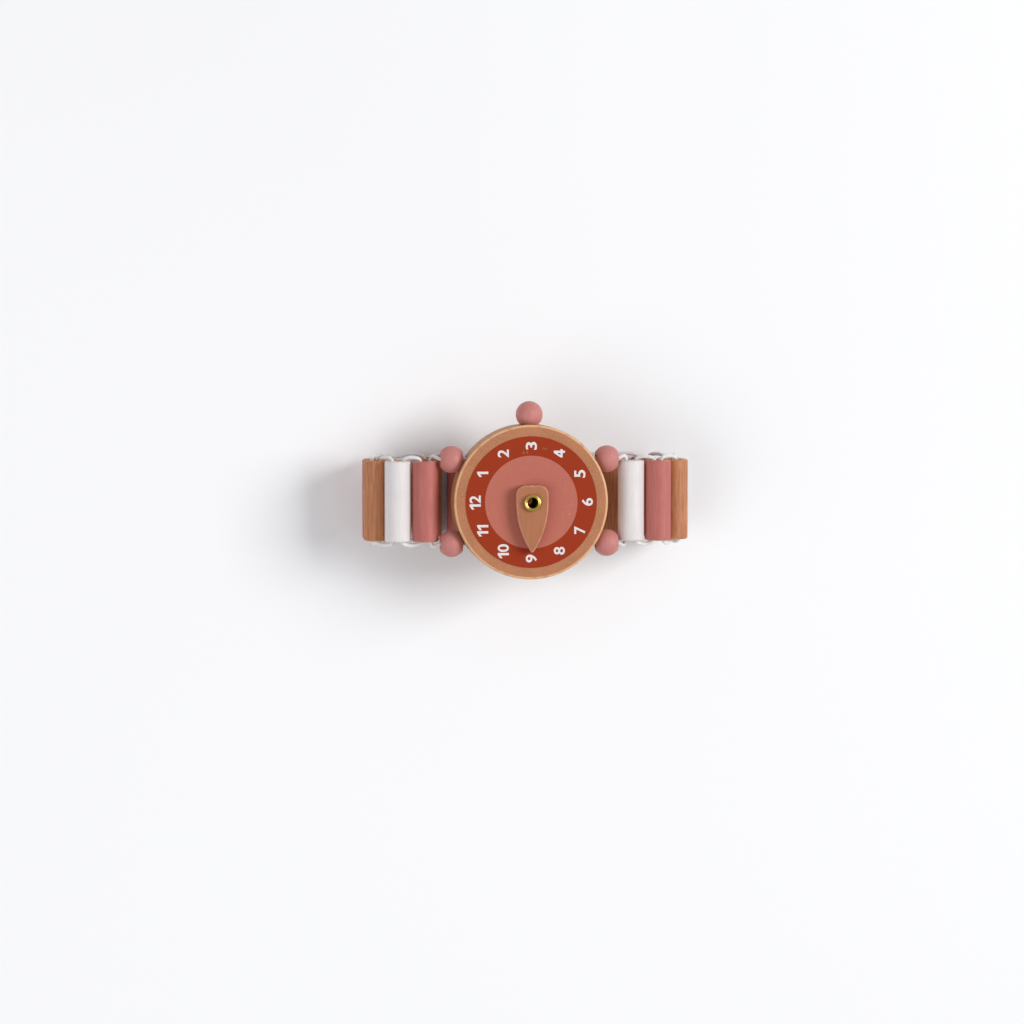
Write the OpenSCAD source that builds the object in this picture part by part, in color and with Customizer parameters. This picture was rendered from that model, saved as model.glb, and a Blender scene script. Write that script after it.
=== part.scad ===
// Wooden toy wrist watch: a turned case with a printed dial and one hand on a brass eyelet,
// and a strap of drilled wooden bars strung on one elastic cord.
// Millimetres. Origin at the centre of the case's back face, +Z out of the dial,
// +X along the strap, +Y towards the crown at three o'clock.

/* [Case] */
// Diameter of the case
case_d = 40; // [36:0.5:46]
// Thickness of the case
case_t = 10; // [9:0.5:13]
// Radius of the rounded front and back rims
case_round = 0.5; // [0.3:0.1:1.5]

/* [Dial] */
// Outer diameter of the printed hour ring
ring_d = 34; // [30:0.5:35]
// Diameter of the printed centre of the dial
centre_d = 24; // [18:0.5:26]
// Thickness of the printed layers
print_t = 0.12; // [0.06:0.02:0.3]

/* [Hand] */
// Width of the hand
hand_w = 8.4; // [7:0.2:10]
// Thickness of the hand
hand_t = 2.6; // [1.8:0.1:4]
// Length from the pivot to the tip
hand_reach = 13.2; // [10:0.2:16]
// Length from the pivot to the blunt end
hand_tail = 4.5; // [3.6:0.1:6]
// Radius of the two corners at the blunt end
hand_corner = 2.4; // [1:0.1:3]
// Bevel round the front edge of the hand
hand_bevel = 0.45; // [0.2:0.05:0.8]

/* [Eyelet] */
// Clear bore through the eyelet
eyelet_bore = 2.6; // [2:0.1:3]
// Thickness of the eyelet's wall
eyelet_wall = 0.3; // [0.2:0.05:0.5]
// Outer diameter of the rolled front rim
eyelet_rim_d = 4.4; // [4.2:0.1:5.4]
// Outer diameter of the clinched rim at the back
clinch_d = 4.6; // [4.2:0.1:5.4]

/* [Beads] */
// Diameter of the crown bead and the four lug beads
bead_d = 7; // [6:0.1:8]
// Length of a lug bead between the flats at the ends of its hole
bead_len = 5.8; // [5:0.1:6.4]
// Diameter of the cord hole through a lug bead
bead_hole = 2.4; // [2:0.1:3]
// Depth that a lug bead seats into the side of the case
bead_seat = 0.5; // [0.3:0.1:0.8]
// Distance of the crown's flat foot from its middle
crown_foot = 2.4; // [1.8:0.1:3]
// Depth of the peg's hole in the crown
crown_hole = 4; // [3:0.1:4.5]
// Diameter of the crown's peg
peg_d = 2; // [1.5:0.1:2.5]
// Depth of the crown's peg in the case
peg_depth = 5; // [3:0.5:6]

/* [Strap] */
// Diameter of a strap bar
bar_d = 6.8; // [6.2:0.1:7.2]
// Length of a strap bar
bar_len = 21; // [18:0.5:24]
// Bore along a strap bar
bar_bore = 4.4; // [4.1:0.1:4.8]
// Rounding of the bar's end edges
bar_round = 0.6; // [0.3:0.1:0.8]
// Gap between the bars beside the case
front_gap = 0.4; // [0.3:0.05:0.8]
// Width of the strap loop over its bar centres
loop_w = 80; // [76:1:90]
// Depth of the strap loop over its bar centres, front row to back row
loop_depth = 18; // [15:0.5:24]

/* [Elastic cord] */
// Diameter of the elastic cord
cord_d = 1; // [0.8:0.1:1.2]
// Height of the cord's arches beyond the bar ends
cord_arch = 0.9; // [0.8:0.1:2]
// Distance of each cord hole past the end of the bars, towards the rim
cord_outset = 0.4; // [0.3:0.05:0.8]
// Diameter of the two cord holes across the case
cord_hole = 2.6; // [2:0.1:3]

/* [Clearances] */
// Radial clearance of the hand on its eyelet
turn_clear = 0.06; // [0.03:0.01:0.1]
// Radial clearance of a fixed pin in its hole
seat_clear = 0.05; // [0.02:0.01:0.1]
// Gap above and below the hand
hand_clear = 0.2; // [0.1:0.05:0.4]
// Clearance round a lug bead
bead_clear = 0.15; // [0.1:0.05:0.3]
// Gap between a lug bead and the first bar
bar_clear = 0.3; // [0.2:0.05:0.6]
// Half of the gap between the two strands where they cross inside a bar
strand_clear = 0.15; // [0.05:0.05:0.25]
// Gap between a strand and the bore of its bar
bore_clear = 0.18; // [0.1:0.02:0.3]

/* [Hidden] */
$fn = 96;
bar_count = 17;
colour_names = ["whitesmoke", "indianred", "peru"];
sides = [1, -1];

case_r = case_d / 2;
bead_r = bead_d / 2;
bar_r = bar_d / 2;
cord_r = cord_d / 2;

// The cord holes cross the case at half its thickness
cord_z = case_t / 2;
cord_y = bar_len / 2 + cord_outset;
bead_x = sqrt(pow(case_r + bead_r - bead_seat, 2) - pow(cord_y, 2));

// The crown stands on the rim by its foot, on a peg that ends just short of its hole's bottom
crown_y = case_r + seat_clear + crown_foot;
peg_recess = 0.2;
peg_out = seat_clear + crown_hole - peg_recess;

// The eyelet's barrel runs from the clinch in the back to the rim over the hand
dial_z = case_t + print_t;
hand_z = dial_z + hand_clear;
rim_z = hand_z + hand_t + hand_clear;
barrel_r = eyelet_bore / 2 + eyelet_wall;
rim_r = (eyelet_rim_d - eyelet_bore) / 4;
clinch_r = (clinch_d - eyelet_bore) / 4;
clinch_z = hand_clear + clinch_r;
clinch_sink = clinch_z + clinch_r + seat_clear;

// The strap's centre line is two straight rows joined by half circles
turn_r = loop_depth / 2;
row_half = loop_w / 2 - turn_r;
half_loop = 2 * row_half + PI * turn_r;
front_pitch = bar_d + front_gap;
middle_bar = (bar_count + 1) / 2;
front_bars = 3;
first_bar = bead_x + bead_len / 2 + bar_clear + bar_r;
third_bar = first_bar + (front_bars - 1) * front_pitch;
back_pitch = (half_loop - third_bar) / (middle_bar - front_bars);

// Where the two strands of the cord leave a bar, along the strap and across it
strand_across = cord_r + strand_clear;
strand_along = sqrt(pow(bar_bore / 2 - cord_r - bore_clear, 2) - pow(strand_across, 2));
cord_steps = 6;
cord_sides = 8;

// A cubic arch rises to three quarters of the pull at its two ends
arch_pull = cord_arch / 0.75;
// Pull of the arch between a lug bead and the first bar, at the bead and at the bar
mouth_pull = 2;
entry_pull = 2.4;
// Depth inside a lug bead at which the cord starts to bend
mouth_sink = 0.9;

function two_digits(k) = k < 10 ? str("0", k) : str(k);
function bar_name(k) = str("strap_bar_", two_digits(k));
bead_names = ["bead_upper_right", "bead_upper_left", "bead_lower_right", "bead_lower_left"];
bead_places = [[1, 1], [-1, 1], [1, -1], [-1, -1]];

// Distance of bar k along the strap from the middle of the case, for the first half of the loop
function half_distance(k) =
    k <= front_bars ? first_bar + (k - 1) * front_pitch : third_bar + (k - front_bars) * back_pitch;

// Place of the strap's centre line as [x, z, turn], from the middle of the case to the right
function half_place(s) =
    s <= row_half ? [s, bar_r, 0]
    : s >= row_half + PI * turn_r ? [half_loop - s, bar_r - loop_depth, 180]
    : let (turn = (s - row_half) / turn_r * 180 / PI)
        [row_half + turn_r * sin(turn), bar_r - turn_r * (1 - cos(turn)), turn];

// Place of bar k, with the left half of the loop mirrored from the right half
function bar_place(k) =
    k <= middle_bar ? half_place(half_distance(k))
    : let (p = half_place(half_distance(bar_count + 1 - k))) [-p[0], p[1], 360 - p[2]];

// A point of bar k: along the strap, along the bar, and outwards from the loop
function in_bar(k, along, y, out) =
    let (p = bar_place(k))
    [p[0] + along * cos(p[2]) + out * sin(p[2]), y, p[1] - along * sin(p[2]) + out * cos(p[2])];

function outward(k) = let (a = bar_place(k)[2]) [sin(a), 0, cos(a)];
function unit(v) = v / norm(v);

// One strand through bar k: it enters at the end "from" (1 upper, -1 lower) and leaves at the other
function strand_in(k, from) = in_bar(k, -strand_along, from * bar_len / 2, from * strand_across);
function strand_out(k, from) = in_bar(k, strand_along, -from * bar_len / 2, from * strand_across);
function strand_way(k, from) = unit(strand_out(k, from) - strand_in(k, from));

function bezier(a, b, c, d, t) =
    pow(1 - t, 3) * a + 3 * pow(1 - t, 2) * t * b + 3 * (1 - t) * t * t * c + t * t * t * d;

// Points of one arch, each with the outward direction that its ring is set out from
function arch(a, way_a, out_a, d, way_d, out_d, pull_a, pull_d) = [
    for (i = [0:cord_steps])
        let (t = i / cord_steps)
        [bezier(a, a + pull_a * way_a, d - pull_d * way_d, d, t), unit((1 - t) * out_a + t * out_d)]
];

// The cord at a lug bead, inside the bead's outer mouth
bead_mouth = bead_x + bead_len / 2 - mouth_sink;
function mouth(side, row) = [side * bead_mouth, row * cord_y, cord_z];

function from_case(row) = arch(
    mouth(1, row), [1, 0, 0], [0, 0, 1],
    strand_in(1, row), strand_way(1, row), outward(1), mouth_pull, entry_pull
);
function to_case(row) = arch(
    strand_out(bar_count, row), strand_way(bar_count, row), outward(bar_count),
    mouth(-1, -row), [1, 0, 0], [0, 0, 1], entry_pull, mouth_pull
);

// The end at which a strand enters bar k on a pass that starts at the end "row" of the first bar
function entry_row(k, row) = k % 2 == 1 ? row : -row;
function pass(row) = concat(
    from_case(row),
    [for (k = [1:bar_count - 1])
        let (here = entry_row(k, row), next = entry_row(k + 1, row))
        each arch(
            strand_out(k, here), strand_way(k, here), outward(k),
            strand_in(k + 1, next), strand_way(k + 1, next), outward(k + 1), arch_pull, arch_pull
        )],
    to_case(row)
);

// Wraps a point number round a closed route
function around(i, n) = (i + n) % n;

// A disc with rounded rims, standing on z = 0
module rounded_disc(d, t, r) {
    rotate_extrude() {
        square([d / 2 - r, t]);
        translate([0, r]) square([d / 2, t - 2 * r]);
        for (z = [r, t - r]) {
            translate([d / 2 - r, z]) circle(r);
        }
    }
}

// A drilled bar along Y, centred, with rounded ends
module drilled_bar(d, len, bore, end_round) {
    wall = (d - bore) / 2;
    r = min(end_round, 0.5 * wall);
    rotate([90, 0, 0]) rotate_extrude() translate([bore / 2, -len / 2]) {
        square([wall - r, len]);
        translate([0, r]) square([wall, len - 2 * r]);
        for (z = [r, len - r]) {
            translate([wall - r, z]) circle(r);
        }
    }
}

// A tube of the cord's diameter along a closed route of [point, outward] pairs
module closed_tube(route) {
    n = len(route);
    points = [
        for (i = [0:n - 1])
            let (
                way = unit(route[around(i + 1, n)][0] - route[around(i - 1, n)][0]),
                out = unit(route[i][1] - (route[i][1] * way) * way),
                across = cross(way, out)
            )
            for (j = [0:cord_sides - 1])
                route[i][0] + cord_r * (cos(360 * j / cord_sides) * out + sin(360 * j / cord_sides) * across)
    ];
    faces = [
        for (i = [0:n - 1])
            for (j = [0:cord_sides - 1])
                let (
                    a = i * cord_sides + j,
                    b = i * cord_sides + (j + 1) % cord_sides,
                    c = around(i + 1, n) * cord_sides + (j + 1) % cord_sides,
                    d = around(i + 1, n) * cord_sides + j
                )
                each [[a, b, c], [a, c, d]]
    ];
    polyhedron(points, faces, convexity = 10);
}

// Outline of the hand, pointing to -Y: two wide arcs that meet at the tip, and a blunt rounded end
module hand_outline() {
    arc_r = (pow(hand_reach, 2) + pow(hand_w / 2, 2)) / hand_w;
    intersection() {
        intersection_for(side = sides) {
            translate([side * (arc_r - hand_w / 2), 0]) circle(arc_r, $fn = 360);
        }
        translate([-hand_w, -2 * hand_reach]) square([2 * hand_w, 2 * hand_reach]);
    }
    hull() {
        for (side = sides) {
            translate([side * (hand_w / 2 - hand_corner), hand_tail - hand_corner]) circle(hand_corner);
        }
        translate([-hand_w / 2, 0]) square([hand_w, hand_tail - hand_corner]);
    }
}

module case() {
    color("burlywood") difference() {
        rounded_disc(case_d, case_t, case_round);
        for (row = sides) {
            translate([-case_d, row * cord_y, cord_z]) rotate([0, 90, 0]) {
                cylinder(d = cord_hole, h = 2 * case_d);
            }
            for (side = sides) {
                translate([side * bead_x, row * cord_y, cord_z]) sphere(bead_r + bead_clear);
            }
        }
        translate([0, 0, -1]) cylinder(r = barrel_r + seat_clear, h = case_t + 2);
        translate([0, 0, -1]) cylinder(d = clinch_d + 2 * hand_clear, h = clinch_sink + 1);
        translate([0, case_r - peg_depth, cord_z]) rotate([-90, 0, 0]) {
            cylinder(d = peg_d + 2 * seat_clear, h = case_r);
        }
    }
}

module dial_ring() {
    color("firebrick") translate([0, 0, case_t]) difference() {
        cylinder(d = ring_d, h = print_t);
        translate([0, 0, -1]) cylinder(d = centre_d, h = print_t + 2);
    }
}

module dial_centre() {
    color("indianred") translate([0, 0, case_t]) difference() {
        cylinder(d = centre_d, h = print_t);
        translate([0, 0, -1]) cylinder(r = barrel_r + seat_clear, h = print_t + 2);
    }
}

module hand() {
    color("peru") translate([0, 0, hand_z]) difference() {
        hull() {
            linear_extrude(hand_t - hand_bevel) hand_outline();
            linear_extrude(hand_t) offset(delta = -hand_bevel) hand_outline();
        }
        translate([0, 0, -1]) cylinder(r = barrel_r + turn_clear, h = hand_t + 2);
    }
}

module eyelet() {
    color("gold") rotate_extrude() {
        translate([eyelet_bore / 2, clinch_z]) square([eyelet_wall, rim_z + rim_r - clinch_z]);
        translate([eyelet_bore / 2 + rim_r, rim_z + rim_r]) circle(rim_r);
        translate([eyelet_bore / 2 + clinch_r, clinch_z]) circle(clinch_r);
    }
}

module crown_bead() {
    color("indianred") translate([0, crown_y, cord_z]) rotate([-90, 0, 0]) difference() {
        rotate_extrude() intersection() {
            circle(bead_r);
            translate([0, -crown_foot]) square([bead_r, crown_foot + bead_r]);
        }
        translate([0, 0, -crown_foot - 1]) cylinder(d = peg_d + 2 * seat_clear, h = crown_hole + 1);
    }
}

module crown_peg() {
    color("burlywood") translate([0, case_r - peg_depth + seat_clear, cord_z]) rotate([-90, 0, 0]) {
        cylinder(d = peg_d, h = peg_depth + peg_out - seat_clear);
    }
}

module lug_bead(side, row) {
    color("indianred") translate([side * bead_x, row * cord_y, cord_z]) rotate([0, 90, 0]) {
        rotate_extrude() intersection() {
            circle(bead_r);
            translate([bead_hole / 2, -bead_len / 2]) square([bead_r, bead_len]);
        }
    }
}

module strap_bar(k) {
    p = bar_place(k);
    color(colour_names[(k - 1) % 3]) translate([p[0], 0, p[1]]) rotate([0, p[2], 0]) {
        drilled_bar(bar_d, bar_len, bar_bore, bar_round);
    }
}

module elastic_cord() {
    color("white") closed_tube(concat(pass(1), pass(-1)));
}

case();
dial_ring();
dial_centre();
hand();
eyelet();
crown_bead();
crown_peg();
for (i = [0:3]) lug_bead(bead_places[i][0], bead_places[i][1]);
for (k = [1:bar_count]) strap_bar(k);
elastic_cord();
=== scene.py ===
"""Dresses a wooden toy wrist watch: printed dial, one hand, bead lugs and a bar strap on elastic."""

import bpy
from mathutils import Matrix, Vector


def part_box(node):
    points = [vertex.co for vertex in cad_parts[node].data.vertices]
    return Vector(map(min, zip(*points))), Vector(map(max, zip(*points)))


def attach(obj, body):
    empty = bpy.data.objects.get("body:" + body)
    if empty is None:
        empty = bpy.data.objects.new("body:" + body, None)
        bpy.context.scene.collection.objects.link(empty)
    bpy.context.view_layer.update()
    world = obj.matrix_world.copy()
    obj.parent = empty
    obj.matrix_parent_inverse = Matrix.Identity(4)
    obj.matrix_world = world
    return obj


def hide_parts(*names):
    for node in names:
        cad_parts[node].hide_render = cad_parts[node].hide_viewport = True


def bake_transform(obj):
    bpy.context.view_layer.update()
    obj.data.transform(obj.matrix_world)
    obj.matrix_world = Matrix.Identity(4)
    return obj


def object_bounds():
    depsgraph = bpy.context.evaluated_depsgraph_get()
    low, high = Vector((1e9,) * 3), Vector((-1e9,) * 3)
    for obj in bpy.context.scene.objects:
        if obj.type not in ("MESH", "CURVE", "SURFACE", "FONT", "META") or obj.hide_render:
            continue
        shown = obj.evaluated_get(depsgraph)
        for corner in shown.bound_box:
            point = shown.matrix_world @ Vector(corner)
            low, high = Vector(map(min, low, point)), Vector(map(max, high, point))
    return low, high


bl_info = {
    "name": "Wooden Toy Watch",
    "version": (1, 0, 0),
    "blender": (4, 5, 0),
    "location": "View3D > Sidebar > Toy Watch",
    "description": "Finishes a wooden toy wrist watch and sets its studio",
    "category": "Object",
}

import math

import bmesh
import bpy
from bpy.props import FloatProperty, FloatVectorProperty, PointerProperty
from mathutils import Matrix, Vector

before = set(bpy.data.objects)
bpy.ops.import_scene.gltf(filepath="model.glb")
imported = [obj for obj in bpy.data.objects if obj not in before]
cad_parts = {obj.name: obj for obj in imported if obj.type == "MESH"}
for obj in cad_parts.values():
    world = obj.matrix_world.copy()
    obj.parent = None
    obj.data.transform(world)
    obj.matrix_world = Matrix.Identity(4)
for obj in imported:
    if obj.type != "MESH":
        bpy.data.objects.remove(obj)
CAD_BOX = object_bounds()

MM = 0.001
RIGHT = Vector((1, 0, 0))
ACROSS = Vector((0, 1, 0))
UP = Vector((0, 0, 1))

BAR_COUNT = 17
MIDDLE_BAR = 9
BAR_NAMES = [f"strap_bar_{k:02d}" for k in range(1, BAR_COUNT + 1)]
BEAD_NAMES = ["bead_upper_right", "bead_upper_left", "bead_lower_right", "bead_lower_left"]

CASE_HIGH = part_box("case")[1]
RING_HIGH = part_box("dial_ring")[1]
HAND_LOW, HAND_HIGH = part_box("hand")
EYELET_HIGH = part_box("eyelet")[1]

# Height of the built-in digits, as a share of the text size.
DIGIT_SHARE = 0.7

# Number of edges in the hand's arcs.
SIDE_STEPS = 14
CORNER_STEPS = 8
TIP_STEPS = 5
EDGE_STEPS = 4
HOLE_STEPS = 48
# An edge of the hand that turns more than this, in radians, is sharp.
SHARP_ANGLE = 1.2
# Width of the border that keeps the hand's front flat inside its sanded edge.
FRONT_BORDER = 0.08 * MM

# The elastic's two strands leave the case in two rows; 1 is the row on the crown's side.
ROWS = (1, -1)
# A cubic arch rises to this share of the length of its handles.
ARCH_SHARE = 0.75
# Depth of the elastic's bend inside a bead's mouth.
MOUTH_SINK = 0.9 * MM
# Lengths of the curve's handles at a bead's mouth, at the bar next to it and in straight runs.
MOUTH_PULL = 2 * MM
ENTRY_PULL = 2.4 * MM
STRAIGHT_PULL = 1 * MM

# The stage, in metres, apart from the sensor's width in millimetres.
FLOOR_REACH = 3.0
FLOOR_GAP = 0.05 * MM
KEY_PLACE = (1.17, 0.30, 1.05)
KEY_WIDTH = 0.75
FILL_PLACE = (-0.65, -0.25, 0.75)
FILL_WIDTH = 0.8
SKY_COLOUR = (0.95, 0.96, 1.0, 1.0)
SENSOR_WIDTH = 36.0
# From the dial's middle to the middle of the picture.
AIM_SHIFT = Vector((-5.0, -2.5, 0)) * MM


class WatchSizes(bpy.types.PropertyGroup):
    """Sizes of the pieces that are made here."""

    numeral_height: FloatProperty(
        name="Numeral Height", description="Height of a number on the dial",
        default=2.9 * MM, unit="LENGTH", precision=5)
    numeral_radius: FloatProperty(
        name="Numeral Radius", description="Distance of the numbers from the pivot",
        default=14.55 * MM, unit="LENGTH", precision=5)
    digit_width: FloatProperty(
        name="Digit Width", description="Width of each digit but the 1",
        default=2.02 * MM, unit="LENGTH", precision=5)
    digit_gap: FloatProperty(
        name="Digit Gap", description="Gap between the two digits of 10, 11 and 12",
        default=0.24 * MM, unit="LENGTH", precision=6)
    digit_stroke: FloatProperty(
        name="Digit Stroke", description="Width of the strokes of the 1 and the 4",
        default=0.62 * MM, unit="LENGTH", precision=5)
    numeral_weight: FloatProperty(
        name="Numeral Weight", description="Extra thickness of a digit's strokes, on each side",
        default=0.08 * MM, unit="LENGTH", precision=6)
    numeral_print: FloatProperty(
        name="Numeral Print", description="Height of the white print over the ring",
        default=0.03 * MM, unit="LENGTH", precision=6)
    hand_corner: FloatProperty(
        name="Hand Corner", description="Radius of the corners at the hand's blunt end",
        default=2.4 * MM, unit="LENGTH", precision=5)
    hand_tip: FloatProperty(
        name="Hand Tip", description="Length that is rounded off the hand's tip",
        default=0.7 * MM, unit="LENGTH", precision=5)
    hand_edge: FloatProperty(
        name="Hand Edge", description="Width of the sanded edge round the hand",
        default=0.42 * MM, unit="LENGTH", precision=5)
    hand_hole: FloatProperty(
        name="Hand Hole", description="Radius of the hole that the eyelet goes through",
        default=1.68 * MM, unit="LENGTH", precision=5)
    cord_radius: FloatProperty(
        name="Cord Radius", description="Radius of the elastic cord",
        default=0.5 * MM, unit="LENGTH", precision=5)
    cord_arch: FloatProperty(
        name="Cord Arch", description="Height of the cord's arches past the bar ends",
        default=0.9 * MM, unit="LENGTH", precision=5)
    strand_along: FloatProperty(
        name="Strand Offset Along",
        description="Distance of a strand from the bar's middle, along the strap",
        default=1.374 * MM, unit="LENGTH", precision=5)
    strand_out: FloatProperty(
        name="Strand Offset Out",
        description="Distance of a strand from the bar's middle, out of the strap",
        default=0.65 * MM, unit="LENGTH", precision=5)
    loop_width: FloatProperty(
        name="Loop Width", description="Width of the strap loop over its bar centres",
        default=80 * MM, unit="LENGTH", precision=4)


def colour_property(name, description, default):
    """A colour that a user would change, in linear values."""
    return FloatVectorProperty(
        name=name, description=description, default=default, subtype="COLOR", size=3, min=0, max=1)


class WatchColours(bpy.types.PropertyGroup):
    """Colours of the paints, prints, woods and metal."""

    case_wood: colour_property("Case Wood", "Face of the turned case", (0.452, 0.185, 0.084))
    case_side: colour_property("Case Side", "Turned side of the case", (0.50, 0.245, 0.098))
    # Pale wood also lightens the case's rim, where it stands partly for worn wood and partly for a painted
    # highlight on the rounded edge.
    pale_wood: colour_property("Pale Wood", "Worn rims and bare wood under the paint", (0.66, 0.37, 0.19))
    ring_red: colour_property("Ring Red", "Printed hour ring", (0.325, 0.034, 0.0075))
    centre_pink: colour_property("Centre Pink", "Printed middle of the dial", (0.49, 0.152, 0.108))
    bead_pink: colour_property("Bead Pink", "Painted beads", (0.56, 0.212, 0.188))
    bar_pink: colour_property("Bar Pink", "Pink strap bars", (0.48, 0.142, 0.118))
    bar_white: colour_property("Bar White", "White strap bars", (0.76, 0.715, 0.705))
    bar_tan: colour_property("Bar Tan", "Tan strap bars", (0.49, 0.192, 0.083))
    hand_tan: colour_property("Hand Tan", "Painted hand", (0.415, 0.158, 0.070))
    # The edge colour is lighter than the hand's tan: partly paint worn off the sanded edge, partly a
    # painted highlight along it.
    hand_edge: colour_property("Hand Edge", "Sanded edge of the hand", (0.56, 0.25, 0.165))
    numeral_white: colour_property("Numeral White", "Printed numbers", (0.80, 0.76, 0.75))
    brass: colour_property("Brass", "Eyelet", (0.80, 0.55, 0.14))
    elastic: colour_property("Elastic", "Braided elastic cord", (0.82, 0.81, 0.80))


class StageSettings(bpy.types.PropertyGroup):
    """Camera, floor and lamps."""

    distance: FloatProperty(
        name="Camera Distance", description="Distance of the camera from the dial",
        default=0.9, unit="LENGTH")
    view_width: FloatProperty(
        name="View Width", description="Width of the picture at the dial",
        default=0.264, unit="LENGTH")
    lean_left: FloatProperty(
        name="Lean Left", description="Angle of the camera towards the left of the dial",
        default=math.radians(6), subtype="ANGLE")
    lean_up: FloatProperty(
        name="Lean Up", description="Angle of the camera towards the crown",
        default=math.radians(3.5), subtype="ANGLE")
    key_power: FloatProperty(
        name="Key Power", description="Power of the large lamp on the right",
        default=18.3, unit="POWER")
    fill_power: FloatProperty(
        name="Fill Power", description="Power of the weaker lamp on the left",
        default=3.8, unit="POWER")
    sky: FloatProperty(
        name="Sky Strength", description="Strength of the even light from all round", default=0.385)
    floor_colour: colour_property("Floor Colour", "Pale floor", (0.94, 0.94, 0.945))


def sizes():
    """The sizes set in the sidebar."""
    return bpy.context.scene.watch_sizes


def colours():
    """The colours set in the sidebar."""
    return bpy.context.scene.watch_colours


def shaded(colour, amount):
    """A colour made lighter or darker, as four values for a node's socket."""
    return tuple(min(1.0, c * amount) for c in colour) + (1.0,)


def feed(material, socket, value):
    """Sets a socket to a value, or links it to another node's output."""
    if isinstance(value, bpy.types.NodeSocket):
        material.node_tree.links.new(value, socket)
    else:
        socket.default_value = value


def add_node(material, kind, inputs=None, **settings):
    """Adds a shader node with its settings and the values of its inputs."""
    made = material.node_tree.nodes.new(kind)
    for name, value in settings.items():
        setattr(made, name, value)
    for name, value in (inputs or {}).items():
        feed(material, made.inputs[name], value)
    return made


def new_finish(name):
    """A material with its shader, and the piece's own coordinates."""
    material = bpy.data.materials.new(name)
    material.use_nodes = True
    shader = material.node_tree.nodes["Principled BSDF"]
    place = add_node(material, "ShaderNodeTexCoord").outputs["Object"]
    return material, shader, place


def stretched(material, place, scale, turn=0.0):
    """Coordinates scaled by axis, for grain that runs one way."""
    inputs = {"Vector": place, "Scale": scale, "Rotation": (0, 0, turn)}
    return add_node(material, "ShaderNodeMapping", inputs).outputs["Vector"]


def noise(material, place, scale, detail=2.0, roughness=0.5):
    """Soft noise from 0 to 1."""
    inputs = {"Vector": place, "Scale": scale, "Detail": detail, "Roughness": roughness}
    return add_node(material, "ShaderNodeTexNoise", inputs).outputs["Fac"]


def ease(material, value, low, high, to_low=0.0, to_high=1.0):
    """Maps a range of values smoothly onto another."""
    inputs = {"Value": value, "From Min": low, "From Max": high, "To Min": to_low, "To Max": to_high}
    made = add_node(material, "ShaderNodeMapRange", inputs, interpolation_type="SMOOTHSTEP")
    return made.outputs["Result"]


def math_node(material, operation, first, second=0.0):
    """One step of arithmetic."""
    made = add_node(material, "ShaderNodeMath", operation=operation)
    feed(material, made.inputs[0], first)
    feed(material, made.inputs[1], second)
    return made.outputs["Value"]


def blend_colours(material, amount, first, second):
    """The first colour at 0, the second at 1."""
    made = add_node(material, "ShaderNodeMix", data_type="RGBA")
    # The node's sockets for numbers and for colours share their names, so they are taken by number.
    feed(material, made.inputs[0], amount)
    feed(material, made.inputs[6], first)
    feed(material, made.inputs[7], second)
    return made.outputs[2]


def relief(material, shader, height, depth, strength=1.0):
    """Bump of a real depth in metres."""
    inputs = {"Height": height, "Distance": depth, "Strength": strength}
    bump = add_node(material, "ShaderNodeBump", inputs)
    feed(material, shader.inputs["Normal"], bump.outputs["Normal"])


def from_axis(material, place):
    """Distance of a point from the watch's middle axis."""
    flat = add_node(material, "ShaderNodeVectorMath", {0: place, 1: (1, 1, 0)}, operation="MULTIPLY")
    length = add_node(material, "ShaderNodeVectorMath", {0: flat.outputs["Vector"]}, operation="LENGTH")
    return length.outputs["Value"]


def split(material, place):
    """The three coordinates by themselves."""
    return add_node(material, "ShaderNodeSeparateXYZ", {"Vector": place}).outputs


def worn_spot(material, place, x, y, radius):
    """A small ragged patch round a point of the dial: 1 inside, 0 outside."""
    flat = add_node(material, "ShaderNodeVectorMath", {0: place, 1: (1, 1, 0)}, operation="MULTIPLY")
    inputs = {0: flat.outputs["Vector"], 1: (x * MM, y * MM, 0)}
    gap = add_node(material, "ShaderNodeVectorMath", inputs, operation="DISTANCE").outputs["Value"]
    ragged = math_node(material, "MULTIPLY", noise(material, place, 2400, 3, 0.65), 2.6 * radius * MM)
    field = math_node(material, "ADD", gap, ragged)
    return ease(material, field, 1.75 * radius * MM, 1.95 * radius * MM, 1, 0)


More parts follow.
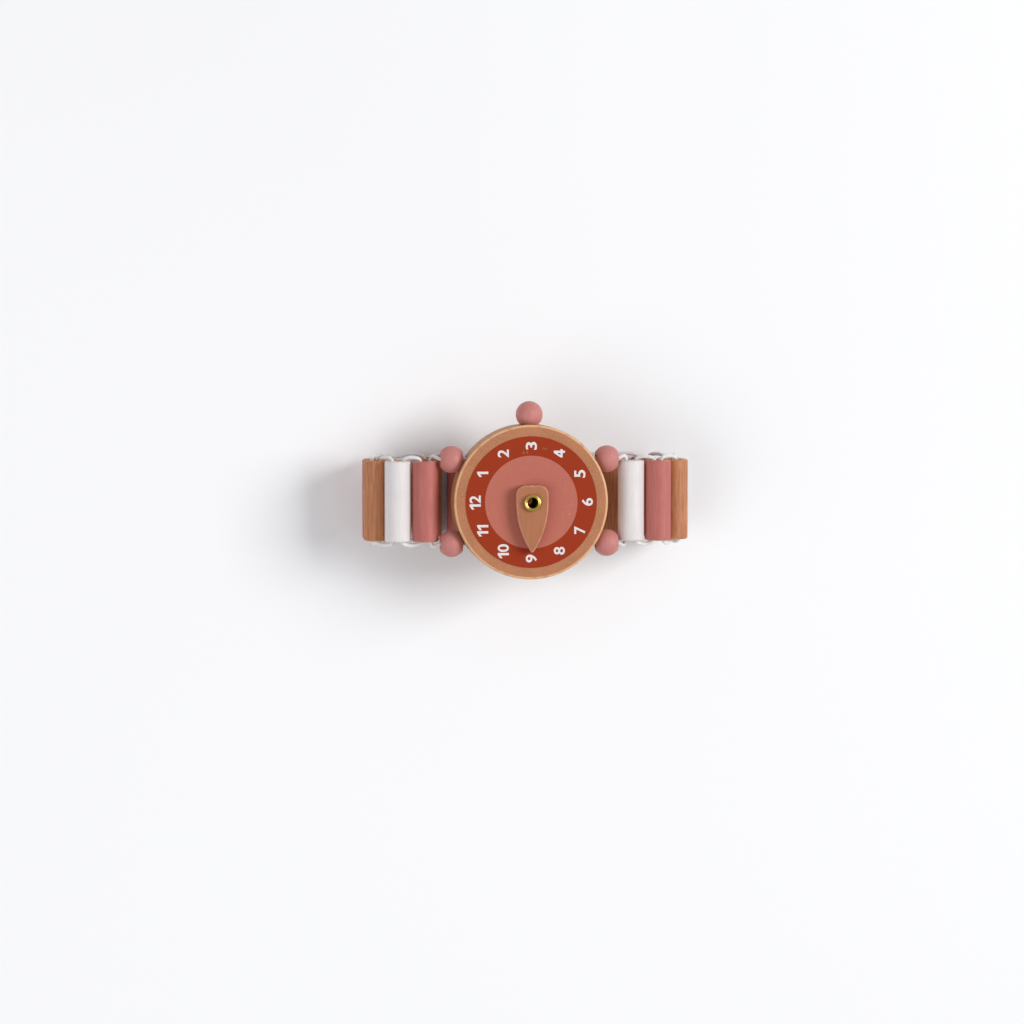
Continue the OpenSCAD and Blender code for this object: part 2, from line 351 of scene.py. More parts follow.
def turned_wood():
    """Fine-flecked board of the case, with a paler rim, partly worn wood and partly a painted highlight on
    the rounded edge, and lathe lines on the side.
    """
    c = colours()
    material, shader, place = new_finish("case_wood")
    fleck_place = stretched(material, place, (3400, 1900, 2400), 0.35)
    flecks = ease(material, noise(material, fleck_place, 1.0, 3, 0.6), 0.36, 0.68)
    cloud = noise(material, place, 160, 3, 0.55)
    body = blend_colours(material, flecks, shaded(c.case_wood, 0.80), shaded(c.case_wood, 1.13))
    body = blend_colours(
        material, ease(material, cloud, 0.3, 0.75, 0, 0.55), body, shaded(c.case_wood, 1.2))
    edge = CASE_HIGH.x
    rim_band = (edge - 0.75 * MM, edge - 0.42 * MM)
    side_band = (edge - 0.12 * MM, edge - 0.01 * MM)
    radius = from_axis(material, place)
    rim = ease(material, radius, *rim_band)
    outside = ease(material, radius, *side_band)
    # Paler band just inside the rounded rim: partly worn bare wood, partly a painted highlight along the
    # edge.
    wear_and_highlight = math_node(material, "SUBTRACT", rim, outside)
    patches = ease(material, noise(material, place, 420, 3), 0.25, 0.5, 0.35, 1)
    wear_and_highlight = math_node(material, "MULTIPLY", wear_and_highlight, patches)
    body = blend_colours(material, wear_and_highlight, body, shaded(c.pale_wood, 1.15))
    lathe = noise(material, stretched(material, place, (90, 90, 5200)), 1.0, 3, 0.6)
    side = blend_colours(
        material, ease(material, lathe, 0.3, 0.7), shaded(c.case_side, 0.82), shaded(c.case_side, 1.12))
    body = blend_colours(material, math_node(material, "MULTIPLY", outside, 0.7), body, side)
    feed(material, shader.inputs["Base Color"], body)
    feed(material, shader.inputs["Roughness"], ease(material, cloud, 0.25, 0.75, 0.46, 0.62))
    shader.inputs["Specular IOR Level"].default_value = 0.4
    relief(material, shader, flecks, 0.018 * MM, 0.5)
    return material


def printed(name, colour, mottle, chips, chip_colour):
    """Matt print on wood, with fine mottling and a few ragged chips at (x, y, radius) in millimetres."""
    material, shader, place = new_finish(name)
    speck = noise(material, place, 2600, 2, 0.6)
    cloud = noise(material, place, 210, 3, 0.55)
    dark = shaded(colour, 1 - mottle)
    light = shaded(colour, 1 + mottle)
    body = blend_colours(material, ease(material, speck, 0.3, 0.7), dark, light)
    body = blend_colours(material, ease(material, cloud, 0.45, 0.8, 0, 0.35), body, shaded(colour, 1.12))
    worn = 0.0
    for x, y, radius in chips:
        worn = math_node(material, "MAXIMUM", worn, worn_spot(material, place, x, y, radius))
    body = blend_colours(material, math_node(material, "MULTIPLY", worn, 0.6), body, chip_colour)
    feed(material, shader.inputs["Base Color"], body)
    feed(material, shader.inputs["Roughness"], ease(material, cloud, 0.25, 0.75, 0.5, 0.62))
    shader.inputs["Specular IOR Level"].default_value = 0.15
    height = math_node(material, "SUBTRACT", math_node(material, "MULTIPLY", speck, 0.25), worn)
    relief(material, shader, height, 0.03 * MM, 0.5)
    return material


def painted(name, colour, wood, grain, grain_depth, end=None):
    """Matt paint on a turned stick or bead; the grain shows through, and the ends of a stick are worn."""
    material, shader, place = new_finish(name)
    streaks = noise(material, stretched(material, place, (2300, 160, 2300)), 1.0, 4, 0.65)
    cloud = noise(material, place, 230, 3, 0.5)
    dark = shaded(colour, 1 - grain)
    light = shaded(colour, 1 + grain * 0.8)
    body = blend_colours(material, ease(material, streaks, 0.32, 0.68), dark, light)
    body = blend_colours(material, ease(material, cloud, 0.4, 0.8, 0, 0.3), body, shaded(colour, 0.9))
    if end:
        worn_band = (end - 0.5 * MM, end - 0.05 * MM)
        reach = math_node(material, "ABSOLUTE", split(material, place)["Y"])
        near_end = ease(material, reach, *worn_band)
        patches = ease(material, noise(material, place, 900, 3), 0.42, 0.62)
        worn = math_node(material, "MULTIPLY", near_end, patches)
        worn = math_node(material, "MULTIPLY", worn, 0.7)
        body = blend_colours(material, worn, body, shaded(wood, 1.0))
    feed(material, shader.inputs["Base Color"], body)
    feed(material, shader.inputs["Roughness"], ease(material, cloud, 0.25, 0.75, 0.46, 0.6))
    shader.inputs["Specular IOR Level"].default_value = 0.35
    relief(material, shader, streaks, grain_depth, 0.55)
    return material


def rolled_brass():
    """Bright brass with faint rings from the press, and painted shade darkening the inside of its hole."""
    material, shader, place = new_finish("brass")
    rings = noise(material, stretched(material, place, (900, 900, 5200)), 1.0, 3)
    tarnish = noise(material, place, 700, 3, 0.6)
    brass = colours().brass
    dull = ease(material, tarnish, 0.4, 0.75)
    body = blend_colours(material, dull, shaded(brass, 1.0), shaded(brass, 0.78))
    rim_band = (EYELET_HIGH.z - 1.3 * MM, EYELET_HIGH.z - 0.6 * MM)
    wall_band = (1.34 * MM, 1.46 * MM)
    below_rim = ease(material, split(material, place)["Z"], *rim_band, 1, 0)
    inside_wall = ease(material, from_axis(material, place), *wall_band, 1, 0)
    # Painted shade: the inside wall of the eyelet's hole is darkened nearly to black, where shade falls
    # down it; the same mask also makes it rougher.
    bore_shade_mask = math_node(material, "MULTIPLY", inside_wall, below_rim)
    body = blend_colours(material, bore_shade_mask, body, shaded(brass, 0.1))
    feed(material, shader.inputs["Base Color"], body)
    shader.inputs["Metallic"].default_value = 1.0
    polish = ease(material, tarnish, 0.3, 0.7, 0.16, 0.3)
    feed(material, shader.inputs["Roughness"], math_node(material, "MAXIMUM", polish, bore_shade_mask))
    relief(material, shader, rings, 0.002 * MM, 0.3)
    return material


def braided_elastic():
    """White braid: two sets of yarns that cross along the cord, with painted shade in the grooves between
    the yarns.
    """
    material, shader, _ = new_finish("elastic")
    lay = add_node(material, "ShaderNodeUVMap", uv_map="UVMap").outputs["UV"]
    yarns = []
    for turn in (0.85, -0.85):
        turned = stretched(material, lay, (1, 1, 1), turn)
        inputs = {"Vector": turned, "Scale": 2.6, "Distortion": 0.4}
        yarns.append(add_node(material, "ShaderNodeTexWave", inputs).outputs["Fac"])
    braid = math_node(material, "MAXIMUM", yarns[0], yarns[1])
    white = colours().elastic
    groove_shade_mask = ease(material, braid, 0.2, 0.9)
    # Painted shade: the grooves between the yarns' crests are darkened.
    body = blend_colours(material, groove_shade_mask, shaded(white, 0.86), shaded(white, 1.0))
    feed(material, shader.inputs["Base Color"], body)
    shader.inputs["Roughness"].default_value = 0.78
    shader.inputs["Sheen Weight"].default_value = 0.25
    relief(material, shader, braid, 0.03 * MM, 0.5)
    return material


def white_print():
    """Screen-printed white of the numbers, a little uneven, with pinholes."""
    c = colours()
    material, shader, place = new_finish("numeral_print")
    cover = noise(material, place, 1500, 3, 0.6)
    holes = ease(material, noise(material, place, 3800, 2), 0.68, 0.74)
    full = ease(material, cover, 0.3, 0.7)
    bare = math_node(material, "MULTIPLY", holes, 0.6)
    body = blend_colours(material, full, shaded(c.numeral_white, 0.9), shaded(c.numeral_white, 1.02))
    body = blend_colours(material, bare, body, shaded(c.ring_red, 1.2))
    feed(material, shader.inputs["Base Color"], body)
    feed(material, shader.inputs["Roughness"], ease(material, cover, 0.3, 0.7, 0.45, 0.6))
    relief(material, shader, cover, 0.01 * MM, 0.4)
    return material


def dress(node_name, material):
    """Gives a CAD piece its finish."""
    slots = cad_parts[node_name].data.materials
    slots.clear()
    slots.append(material)


def new_piece(name, mesh, material, soft_edge=35):
    """Makes an object from a finished mesh, at the origin."""
    mesh.name = name
    mesh.materials.clear()
    mesh.materials.append(material)
    mesh.shade_smooth()
    mesh.set_sharp_from_angle(angle=math.radians(soft_edge))
    piece = bpy.data.objects.new(name, mesh)
    bpy.context.scene.collection.objects.link(piece)
    return piece


class WATCH_OT_case(bpy.types.Operator):
    """Finish the case, its printed dial and the crown's peg"""

    bl_idname = "watch.case"
    bl_label = "Finish Case and Dial"

    def execute(self, context):
        c = colours()
        ring_chips = [(-1.9, 12.75, 0.6), (-1.0, 12.9, 0.5), (3.2, 13.95, 0.42), (3.9, 13.85, 0.35)]
        centre_scuffs = [
            (10.4, -0.5, 0.35), (8.1, -1.0, 0.18), (10.0, -3.1, 0.4), (9.6, -2.4, 0.22), (-1.4, -8.9, 0.25),
        ]
        ring_print = printed("ring_print", c.ring_red, 0.05, ring_chips, shaded(c.case_wood, 0.8))
        centre_print = printed(
            "centre_print", c.centre_pink, 0.04, centre_scuffs, shaded(c.centre_pink, 1.45))
        dress("case", turned_wood())
        dress("dial_ring", ring_print)
        dress("dial_centre", centre_print)
        dress("crown_peg", painted("peg_wood", c.pale_wood, c.pale_wood, 0.12, 0.02 * MM))
        return {"FINISHED"}


def spread(mesh):
    """Lowest and highest corner of a mesh."""
    places = [v.co for v in mesh.vertices]
    low = Vector(min(p[i] for p in places) for i in range(3))
    high = Vector(max(p[i] for p in places) for i in range(3))
    return low, high


def curve_mesh(name, curve):
    """The mesh of a curve or text, which is then thrown away."""
    holder = bpy.data.objects.new(name, curve)
    bpy.context.scene.collection.objects.link(holder)
    bpy.context.view_layer.update()
    mesh = bpy.data.meshes.new_from_object(holder.evaluated_get(bpy.context.evaluated_depsgraph_get()))
    bpy.data.objects.remove(holder)
    bpy.data.curves.remove(curve)
    return mesh


def round_digit(digit):
    """A digit in the built-in letters, made heavier and brought to the digits' common size."""
    s = sizes()
    text = bpy.data.curves.new(f"digit_{digit}", "FONT")
    text.body = digit
    text.size = s.numeral_height / DIGIT_SHARE
    text.offset = s.numeral_weight
    text.extrude = s.numeral_print / 2
    mesh = curve_mesh(f"digit_{digit}", text)
    low, high = spread(mesh)
    mesh.transform(Matrix.Translation(-low))
    scale = (s.digit_width / (high.x - low.x), s.numeral_height / (high.y - low.y), 1, 1)
    mesh.transform(Matrix.Diagonal(scale))
    return mesh


def cut_digit(digit, outlines):
    """A digit filled in from its straight outlines, with its lower left corner at the origin."""
    curve = bpy.data.curves.new(f"digit_{digit}", "CURVE")
    curve.dimensions = "2D"
    curve.fill_mode = "BOTH"
    curve.extrude = sizes().numeral_print / 2
    for outline in outlines:
        line = curve.splines.new("POLY")
        line.use_cyclic_u = True
        line.points.add(len(outline) - 1)
        for point, place in zip(line.points, outline):
            point.co = (*place, 0, 1)
    mesh = curve_mesh(f"digit_{digit}", curve)
    mesh.transform(Matrix.Translation(-spread(mesh)[0]))
    return mesh


def digit_one():
    """A bold 1: a stem with a sloping flag."""
    s = sizes()
    stroke = s.digit_stroke
    top = s.numeral_height
    flag = 0.74 * MM
    slope = 0.62 * MM
    flat_top = 0.14 * MM
    notch = 0.16 * MM
    right = flag + stroke
    outline = [
        (flag, 0), (right, 0), (right, top), (flag + flat_top, top),
        (0, top - slope), (0, top - slope - stroke), (flag, top - slope - notch),
    ]
    return cut_digit("1", [outline])


def digit_four():
    """A bold 4, a little wider and thinner than the others, round a three-cornered hole."""
    s = sizes()
    stroke = s.digit_stroke * 0.95
    right = s.digit_width * 1.04
    top = s.numeral_height
    bar = 0.6 * MM
    stub = 0.36 * MM
    hole_width = 0.56 * MM
    hole_height = 0.8 * MM
    stem = right - stub
    inner = stem - stroke
    shelf = bar + stroke
    outline = [
        (inner, 0), (stem, 0), (stem, bar), (right, bar), (right, shelf), (stem, shelf),
        (stem, top), (inner, top), (0, shelf), (0, bar), (inner, bar),
    ]
    hole = [(inner - hole_width, shelf), (inner, shelf), (inner, shelf + hole_height)]
    return cut_digit("4", [outline, hole])


def number_mesh(number):
    """One number of the dial as a flat mesh, centred and lying on z = 0."""
    shape = bmesh.new()
    pen = 0.0
    for digit in str(number):
        if digit == "1":
            mesh = digit_one()
        elif digit == "4":
            mesh = digit_four()
        else:
            mesh = round_digit(digit)
        mesh.transform(Matrix.Translation((pen, 0, 0)))
        pen = spread(mesh)[1].x + sizes().digit_gap
        shape.from_mesh(mesh)
        bpy.data.meshes.remove(mesh)
    mesh = bpy.data.meshes.new(f"number_{number}")
    shape.to_mesh(mesh)
    shape.free()
    low, high = spread(mesh)
    middle = (low + high) / 2
    mesh.transform(Matrix.Translation((-middle.x, -middle.y, -low.z)))
    return mesh


class WATCH_OT_numerals(bpy.types.Operator):
    """Print the twelve numbers on the dial's ring"""

    bl_idname = "watch.numerals"
    bl_label = "Print Numerals"

    def execute(self, context):
        s = sizes()
        material = white_print()
        shape = bmesh.new()
        quarter = Matrix.Rotation(math.pi / 2, 4, "Z")
        for number in range(1, 13):
            mesh = number_mesh(number)
            angle = math.tau * number / 12
            spot = Vector((-math.cos(angle), math.sin(angle), 0)) * s.numeral_radius
            spot.z = RING_HIGH.z
            mesh.transform(Matrix.Translation(spot) @ quarter)
            shape.from_mesh(mesh)
            bpy.data.meshes.remove(mesh)
        mesh = bpy.data.meshes.new("numerals")
        bmesh.ops.remove_doubles(shape, verts=shape.verts, dist=1e-7)
        bmesh.ops.recalc_face_normals(shape, faces=shape.faces)
        shape.to_mesh(mesh)
        shape.free()
        piece = new_piece("numerals", mesh, material)
        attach(piece, "case")
        return {"FINISHED"}


def swing(shape, start, centre, angle, steps):
    """Turns a vertex about a centre and leaves an arc of edges; gives the last vertex."""
    made = bmesh.ops.spin(
        shape, geom=[start], cent=centre, axis=UP, angle=angle, steps=steps, use_merge=False)
    return next(g for g in made["geom_last"] if isinstance(g, bmesh.types.BMVert))


def run_on(shape, start, place):
    """Runs a straight edge from a vertex to a place; gives the new vertex."""
    made = bmesh.ops.extrude_vert_indiv(shape, verts=[start])
    made["verts"][0].co = place
    return made["verts"][0]


def painted_hand():
    """The hand's tan paint, paler along the sanded edge, partly worn paint and partly a painted highlight,
    with a few nicks there.
    """
    c = colours()
    material, shader, place = new_finish("hand_paint")
    streaks = noise(material, stretched(material, place, (1300, 130, 1300)), 1.0, 3, 0.6)
    cloud = noise(material, place, 260, 3, 0.5)
    body = blend_colours(
        material, ease(material, streaks, 0.3, 0.7), shaded(c.hand_tan, 0.96), shaded(c.hand_tan, 1.05))
    height = split(material, place)["Z"]
    top = HAND_HIGH.z
    front_band = (top - 0.03 * MM, top - 0.005 * MM)
    side_band = (top - 0.5 * MM, top - 0.36 * MM)
    edge = ease(material, height, *front_band, 1, 0)
    side = ease(material, height, *side_band)
    wear_and_highlight = math_node(material, "MULTIPLY", edge, side)
    patchy = ease(material, noise(material, place, 800, 3), 0.3, 0.6, 0.4, 1)
    # Painted highlight and wear: the sanded edge is lightened to the edge colour, partly worn paint and
    # partly a highlight painted along the bevel.
    body = blend_colours(
        material, math_node(material, "MULTIPLY", wear_and_highlight, patchy), body, shaded(c.hand_edge, 1.0))
    nicks = ease(material, noise(material, place, 1500, 2), 0.66, 0.7)
    nicks = math_node(material, "MULTIPLY", nicks, wear_and_highlight)
    body = blend_colours(material, nicks, body, shaded(c.pale_wood, 1.1))
    feed(material, shader.inputs["Base Color"], body)
    feed(material, shader.inputs["Roughness"], ease(material, cloud, 0.25, 0.75, 0.42, 0.55))
    shader.inputs["Specular IOR Level"].default_value = 0.4
    relief(material, shader, streaks, 0.008 * MM, 0.5)
    return material


def draw_hand(shape):
    """Draws the hand's outline, with its rounded tip, and its hole on the board's lower plane."""
    s = sizes()
    half = HAND_HIGH.x
    reach = -HAND_LOW.y
    tail = HAND_HIGH.y
    base = HAND_LOW.z
    corner = s.hand_corner
    bow = (reach ** 2 + half ** 2) / (2 * half)
    sweep = math.asin(reach / bow)
    end = shape.verts.new((0, -reach, base))
    end = swing(shape, end, (half - bow, 0, base), sweep, SIDE_STEPS)
    end = run_on(shape, end, (half, tail - corner, base))
    end = swing(shape, end, (half - corner, tail - corner, base), math.pi / 2, CORNER_STEPS)
    end = run_on(shape, end, (corner - half, tail, base))
    end = swing(shape, end, (corner - half, tail - corner, base), math.pi / 2, CORNER_STEPS)
    end = run_on(shape, end, (-half, 0, base))
    swing(shape, end, (bow - half, 0, base), sweep, SIDE_STEPS)
    bmesh.ops.remove_doubles(shape, verts=shape.verts, dist=1e-6)
    tips = [min(shape.verts, key=lambda v: v.co.y)]
    bmesh.ops.bevel(
        shape, geom=tips, offset=s.hand_tip, affect="VERTICES", segments=TIP_STEPS, profile=0.5,
        material=-1, offset_type="OFFSET")
    bmesh.ops.create_circle(
        shape, cap_ends=False, radius=s.hand_hole, segments=HOLE_STEPS,
        matrix=Matrix.Translation((0, 0, base)))


def sand_front(shape):
    """Rounds the edge round the hand's front and gives the flat front a narrow border."""
    s = sizes()
    middle = (HAND_LOW.z + HAND_HIGH.z) / 2
    hole_zone = s.hand_hole * 1.2
    edges = [e for e in shape.edges if len(e.link_faces) == 2 and e.calc_face_angle() > SHARP_ANGLE]
    outer = [e for e in edges if all(Vector(v.co[:2]).length > hole_zone for v in e.verts)]
    front = [e for e in outer if all(v.co.z > middle for v in e.verts)]
    bmesh.ops.bevel(
        shape, geom=front, offset=s.hand_edge, affect="EDGES", segments=EDGE_STEPS, profile=0.5,
        material=-1, offset_type="OFFSET")
    bmesh.ops.recalc_face_normals(shape, faces=shape.faces)
    face = [f for f in shape.faces if f.normal.z > 0.999]
    bmesh.ops.inset_region(
        shape, faces=face, thickness=FRONT_BORDER, use_boundary=True, use_even_offset=True)


class WATCH_OT_hand(bpy.types.Operator):
    """Cut the hand from a thin board, with a rounded tip and sanded edges"""

    bl_idname = "watch.hand"
    bl_label = "Make Hand"

    def execute(self, context):
        shape = bmesh.new()
        draw_hand(shape)
        bmesh.ops.triangle_fill(
            shape, use_beauty=True, use_dissolve=False, edges=list(shape.edges), normal=UP)
        lifted = bmesh.ops.extrude_face_region(shape, geom=list(shape.faces))
        top = [g for g in lifted["geom"] if isinstance(g, bmesh.types.BMVert)]
        bmesh.ops.translate(shape, verts=top, vec=(0, 0, HAND_HIGH.z - HAND_LOW.z))
        bmesh.ops.recalc_face_normals(shape, faces=shape.faces)
        sand_front(shape)
        mesh = bpy.data.meshes.new("hand_board")
        shape.to_mesh(mesh)
        shape.free()
        piece = new_piece("hand_board", mesh, painted_hand(), 40)
        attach(piece, "hand")
        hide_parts("hand")
        return {"FINISHED"}


class WATCH_OT_eyelet(bpy.types.Operator):
    """Finish the rolled eyelet in brass"""

    bl_idname = "watch.eyelet"
    bl_label = "Finish Eyelet"

    def execute(self, context):
        dress("eyelet", rolled_brass())
        return {"FINISHED"}


class WATCH_OT_beads(bpy.types.Operator):
    """Paint the crown bead and the four lug beads"""

    bl_idname = "watch.beads"
    bl_label = "Paint Beads"

    def execute(self, context):
        c = colours()
        finish = painted("bead_paint", c.bead_pink, c.pale_wood, 0.07, 0.02 * MM)
        for name in BEAD_NAMES + ["crown_bead"]:
            dress(name, finish)
        return {"FINISHED"}


class WATCH_OT_bars(bpy.types.Operator):
    """Paint the strap bars white, pink and tan in turn"""

    bl_idname = "watch.bars"
    bl_label = "Paint Bars"

    def execute(self, context):
        c = colours()
        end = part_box(BAR_NAMES[0])[1].y
        finishes = [
            painted("bar_white", c.bar_white, c.pale_wood, 0.04, 0.02 * MM, end),
            painted("bar_pink", c.bar_pink, c.pale_wood, 0.08, 0.025 * MM, end),
            painted("bar_tan", c.bar_tan, c.pale_wood, 0.22, 0.045 * MM, end),
        ]
        for k, name in enumerate(BAR_NAMES):
            dress(name, finishes[k % 3])
        return {"FINISHED"}


def entry_end(k, row):
    """The end at which a row's strand enters bar k: it changes ends from bar to bar."""
    return row if k % 2 == 1 else -row


class Strap:
    """Places along the strap, read from the CAD bars and beads; a cord point is a place and two handles."""

    def __init__(self):
        self.centres = []
        for name in BAR_NAMES:
            low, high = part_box(name)
            self.centres.append((low + high) / 2)
        self.half_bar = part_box(BAR_NAMES[0])[1].y
        self.middle_z = (self.centres[0].z + self.centres[MIDDLE_BAR - 1].z) / 2
        turn = self.centres[0].z - self.middle_z
        self.row_half = sizes().loop_width / 2 - turn
        low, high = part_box("bead_upper_right")
        self.bead_middle = (low + high) / 2
        self.bead_flat = high.x

    def axes(self, k):
        """Directions along the strap and out of it, at bar k."""
        centre = self.centres[k - 1]
        x = max(-self.row_half, min(self.row_half, centre.x))
        out = (centre - Vector((x, 0, self.middle_z))).normalized()
        return ACROSS.cross(out), out

    def strand(self, k, entry, part):
        """A place on the strand in bar k: part is -1 where it enters, 0 inside, 1 where it leaves."""
        s = sizes()
        along, out = self.axes(k)
        side = part * s.strand_along * along - part * entry * self.half_bar * ACROSS
        return self.centres[k - 1] + side + entry * s.strand_out * out

    def way(self, k, entry):
        """Direction of the strand in bar k."""
        return (self.strand(k, entry, 1) - self.strand(k, entry, -1)).normalized()

    def inside(self, k, entry):
        """Cord point at the middle of bar k."""
        place = self.strand(k, entry, 0)
        pull = self.way(k, entry) * STRAIGHT_PULL
        return place, place - pull, place + pull

    def leaving(self, k, entry, reach):
        """Cord point where the strand leaves bar k, with the reach of its outer handle."""
        place = self.strand(k, entry, 1)
        way = self.way(k, entry)
        return place, place - way * STRAIGHT_PULL, place + way * reach

    def arriving(self, k, entry, reach):
        """Cord point where the strand enters bar k, with the reach of its outer handle."""
        place = self.strand(k, entry, -1)
        way = self.way(k, entry)
        return place, place - way * reach, place + way * STRAIGHT_PULL

    def mouth(self, side, row, before=STRAIGHT_PULL, after=STRAIGHT_PULL):
        """Cord point in the mouth of a lug bead: side is 1 on the right and -1 on the left."""
        place = Vector((side * (self.bead_flat - MOUTH_SINK), row * self.bead_middle.y, self.bead_middle.z))
        return place, place - RIGHT * before, place + RIGHT * after


def cord_mesh(name, runs):
    """A tube along each run of (place, handle before, handle after)."""
    s = sizes()
    curve = bpy.data.curves.new(name, "CURVE")
    curve.dimensions = "3D"
    curve.bevel_depth = s.cord_radius
    curve.bevel_resolution = 4
    curve.resolution_u = 10
    curve.use_fill_caps = True
    for run in runs:
        spline = curve.splines.new("BEZIER")
        spline.bezier_points.add(len(run) - 1)
        for point, (place, before, after) in zip(spline.bezier_points, run):
            point.handle_left_type = "FREE"
            point.handle_right_type = "FREE"
            point.co = place
            point.handle_left = before
            point.handle_right = after
    return curve_mesh(name, curve)


def elastic_piece(name, runs, finish):
    """One stretch of the elastic as a piece."""
    piece = new_piece(name, cord_mesh(name, runs), finish, 60)
    return piece


def first_run(strap, row):
    """From a right bead into the first bar."""
    return [
        strap.mouth(1, row, after=MOUTH_PULL), strap.arriving(1, row, ENTRY_PULL), strap.inside(1, row)]


def last_run(strap, row):
    """From the last bar into a left bead."""
    entry = entry_end(BAR_COUNT, row)
    return [
        strap.inside(BAR_COUNT, entry), strap.leaving(BAR_COUNT, entry, ENTRY_PULL),
        strap.mouth(-1, -entry, before=MOUTH_PULL)]


def arch_run(strap, k, row, pull):
    """From the middle of bar k, over an arch, to the middle of the next bar."""
    here = entry_end(k, row)
    there = entry_end(k + 1, row)
    return [
        strap.inside(k, here), strap.leaving(k, here, pull),
        strap.arriving(k + 1, there, pull), strap.inside(k + 1, there)]


def halve(start, lift, drop, end):
    """The first half of a cubic arch: its two handles and the arch's top."""
    rise = (start + lift) / 2
    across = (lift + drop) / 2
    fall = (drop + end) / 2
    near = (rise + across) / 2
    far = (across + fall) / 2
    return rise, near, (near + far) / 2


def half_arch_runs(strap, row, pull):
    """The arch at the middle of the back, where the joints open the loop: one half on each bar."""
    k = MIDDLE_BAR
    here = entry_end(k, row)
    there = entry_end(k + 1, row)
    leave, back, lift = strap.leaving(k, here, pull)
    arrive, drop, ahead = strap.arriving(k + 1, there, pull)
    rise, near, top = halve(leave, lift, drop, arrive)
    before = [strap.inside(k, here), (leave, back, rise), (top, near, top * 2 - near)]
    rise, near, top = halve(arrive, drop, lift, leave)
    after = [(top, top * 2 - near, near), (arrive, rise, ahead), strap.inside(k + 1, there)]
    return before, after


class WATCH_OT_elastic(bpy.types.Operator):
    """String the strap on its elastic cord, in stretches that follow the bars"""

    bl_idname = "watch.elastic"
    bl_label = "String Elastic"

    def execute(self, context):
        s = sizes()
        strap = Strap()
        finish = braided_elastic()
        pull = s.cord_arch / ARCH_SHARE

        runs = [[strap.mouth(-1, row), strap.mouth(1, row)] for row in ROWS]
        piece = elastic_piece("elastic_case", runs, finish)
        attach(piece, "case")
        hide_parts("elastic_cord")

        piece = elastic_piece("elastic_case_01", [first_run(strap, row) for row in ROWS], finish)
        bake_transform(piece)

        for k in range(1, BAR_COUNT):
            if k == MIDDLE_BAR:
                before, after = zip(*(half_arch_runs(strap, row, pull) for row in ROWS))
                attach(elastic_piece("elastic_09_end", before, finish), "bar_09")
                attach(elastic_piece("elastic_10_end", after, finish), "bar_10")
                continue
            runs = [arch_run(strap, k, row, pull) for row in ROWS]
            piece = elastic_piece(f"elastic_{k:02d}_{k + 1:02d}", runs, finish)
            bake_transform(piece)

        piece = elastic_piece("elastic_17_case", [last_run(strap, row) for row in ROWS], finish)
        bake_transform(piece)
        return {"FINISHED"}


def floor_finish():
    """Pale matt studio floor with a faint unevenness."""
    stage = bpy.context.scene.watch_stage
    material, shader, place = new_finish("studio_floor")
    cloud = noise(material, place, 3.0, 2)
    pale = stage.floor_colour
    even = ease(material, cloud, 0.3, 0.7)
    body = blend_colours(material, even, shaded(pale, 0.985), shaded(pale, 1.0))
    feed(material, shader.inputs["Base Color"], body)
    shader.inputs["Roughness"].default_value = 0.9
    shader.inputs["Specular IOR Level"].default_value = 0.1
    return material


def area_lamp(name, place, target, width, power):
    """A soft square lamp that faces a target."""
    data = bpy.data.lights.new(name, "AREA")
    data.shape = "SQUARE"
    data.size = width
    data.energy = power
    lamp = bpy.data.objects.new(name, data)
    lamp.location = place
    lamp.rotation_euler = (Vector(target) - Vector(place)).to_track_quat("-Z", "Y").to_euler()
    bpy.context.scene.collection.objects.link(lamp)


def lay_floor():
    """Lays the studio floor just under the strap."""
    level = CAD_BOX[0][2] - FLOOR_GAP
    shape = bmesh.new()
    bmesh.ops.create_grid(
        shape, x_segments=8, y_segments=8, size=FLOOR_REACH, matrix=Matrix.Translation((0, 0, level)))
    mesh = bpy.data.meshes.new("studio_floor")
    shape.to_mesh(mesh)
    shape.free()
    new_piece("studio_floor", mesh, floor_finish())


def light_sky(scene):
    """Gives the scene an even light from all round."""
    world = bpy.data.worlds.new("studio")
    world.use_nodes = True
    scene.world = world
    sky = world.node_tree.nodes["Background"]
    sky.inputs["Color"].default_value = SKY_COLOUR
    sky.inputs["Strength"].default_value = scene.watch_stage.sky


def set_camera(scene, dial):
    """Sets the camera over the dial, leaning a little to the left and towards the crown."""
    stage = scene.watch_stage
    camera = bpy.data.cameras.new("camera")
    camera.sensor_width = SENSOR_WIDTH
    camera.lens = camera.sensor_width * stage.distance / stage.view_width
    camera.clip_start = 0.01
    camera.clip_end = 20.0
    back = Vector((-math.tan(stage.lean_left), math.tan(stage.lean_up), 1)).normalized()
    right = ACROSS.cross(back).normalized()
    up = back.cross(right)
    holder = bpy.data.objects.new("camera", camera)
    holder.location = dial + AIM_SHIFT + back * stage.distance
    holder.rotation_euler = Matrix((right, up, back)).transposed().to_euler()
    scene.collection.objects.link(holder)
    scene.camera = holder


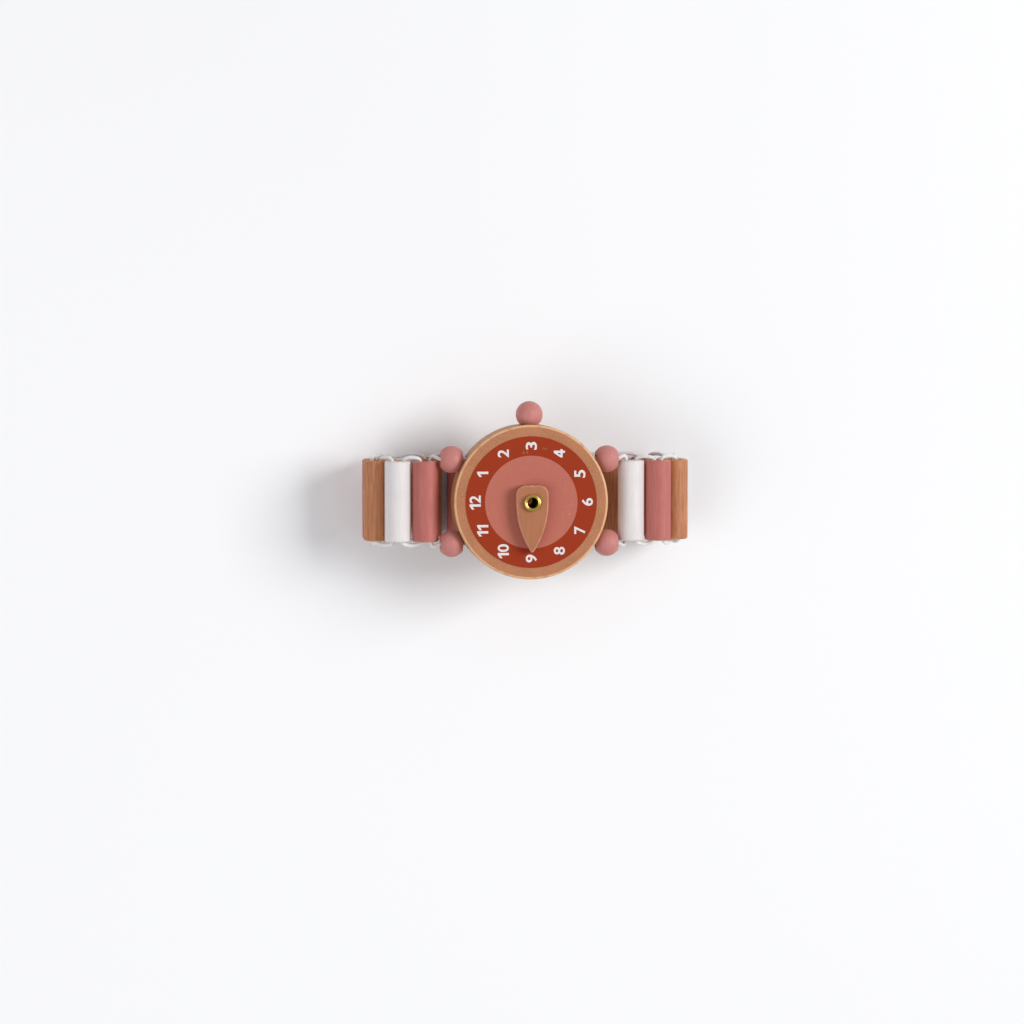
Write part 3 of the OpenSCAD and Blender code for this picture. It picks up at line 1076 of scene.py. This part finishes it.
class WATCH_OT_stage(bpy.types.Operator):
    """Lay the floor, set the lamps and the camera"""

    bl_idname = "watch.stage"
    bl_label = "Set Stage"

    def execute(self, context):
        scene = context.scene
        stage = scene.watch_stage
        dial = Vector((0, 0, CASE_HIGH.z))
        scene.view_settings.view_transform = "Standard"
        lay_floor()
        area_lamp("key_lamp", KEY_PLACE, dial, KEY_WIDTH, stage.key_power)
        area_lamp("fill_lamp", FILL_PLACE, dial, FILL_WIDTH, stage.fill_power)
        light_sky(scene)
        set_camera(scene, dial)
        return {"FINISHED"}


class WATCH_PT_sidebar(bpy.types.Panel):
    """Lists the watch's pieces, sizes and colours"""

    bl_idname = "WATCH_PT_sidebar"
    bl_label = "Toy Watch"
    bl_space_type = "VIEW_3D"
    bl_region_type = "UI"
    bl_category = "Toy Watch"

    def draw(self, context):
        layout = self.layout
        for operator in OPERATORS:
            layout.operator(operator.bl_idname)
        for group in (context.scene.watch_sizes, context.scene.watch_colours, context.scene.watch_stage):
            box = layout.box()
            for name in group.__annotations__:
                box.prop(group, name)


GROUPS = {"watch_sizes": WatchSizes, "watch_colours": WatchColours, "watch_stage": StageSettings}
OPERATORS = (
    WATCH_OT_case, WATCH_OT_numerals, WATCH_OT_hand, WATCH_OT_eyelet,
    WATCH_OT_beads, WATCH_OT_bars, WATCH_OT_elastic, WATCH_OT_stage,
)


def register():
    """Adds the watch's settings, operators and panel."""
    for name, group in GROUPS.items():
        bpy.utils.register_class(group)
        setattr(bpy.types.Scene, name, PointerProperty(type=group))
    for item in OPERATORS + (WATCH_PT_sidebar,):
        bpy.utils.register_class(item)


def unregister():
    """Takes them away again."""
    for item in (WATCH_PT_sidebar,) + OPERATORS[::-1]:
        bpy.utils.unregister_class(item)
    for name, group in GROUPS.items():
        delattr(bpy.types.Scene, name)
        bpy.utils.unregister_class(group)


def main():
    """Builds the whole scene."""
    register()
    bpy.ops.watch.case()
    bpy.ops.watch.numerals()
    bpy.ops.watch.hand()
    bpy.ops.watch.eyelet()
    bpy.ops.watch.beads()
    bpy.ops.watch.bars()
    bpy.ops.watch.elastic()
    bpy.ops.watch.stage()


if __name__ == "__main__":
    main()
